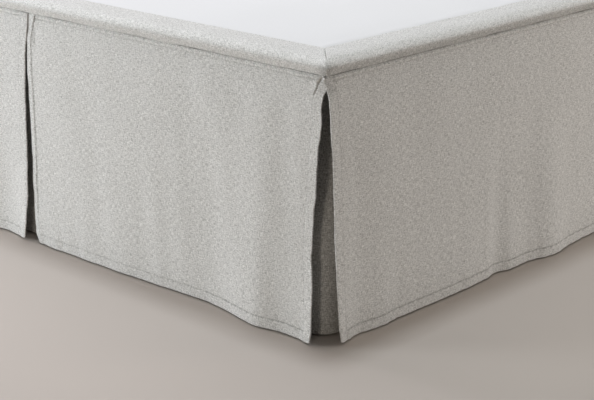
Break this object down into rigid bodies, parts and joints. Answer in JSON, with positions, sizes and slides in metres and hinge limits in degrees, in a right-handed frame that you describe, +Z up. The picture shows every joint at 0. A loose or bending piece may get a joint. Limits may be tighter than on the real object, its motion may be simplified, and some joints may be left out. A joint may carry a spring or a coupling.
{
  "type": "bed skirt on bed base",
  "caption": "Tailored linen bed skirt with a flat white deck, a mitred border and hemmed panels with split corners, on a plain bed base with open space underneath.",
  "frame": {"origin": "on the floor, under the middle of the object's bounding box", "axes": "+Z up, -Y towards the foot end, +Y towards the open head end, X across the bed"},
  "size_m": [1.446, 2.0208, 0.4385],
  "materials": {
    "linen": "matt greige plain-weave linen with slubs",
    "deck_cloth": "smooth matt white cotton",
    "base_cover": "matt pale woven cover",
    "leg_wood": "satin beech"
  },
  "bodies": {
    "root": {"deck": "deck_cloth", "border_left": "linen", "border_foot": "linen", "border_right": "linen", "panel_left_head": "linen", "panel_left_foot": "linen", "panel_foot_left": "linen", "panel_foot_right": "linen", "panel_right_foot": "linen", "panel_right_head": "linen", "insert_left": "linen", "insert_foot": "linen", "insert_right": "linen", "insert_corner_left": "linen", "insert_corner_right": "linen", "bed_base": "base_cover", "leg_1": "leg_wood", "leg_2": "leg_wood", "leg_3": "leg_wood", "leg_4": "leg_wood", "leg_5": "leg_wood", "leg_6": "leg_wood"}
  },
  "joints": []
}
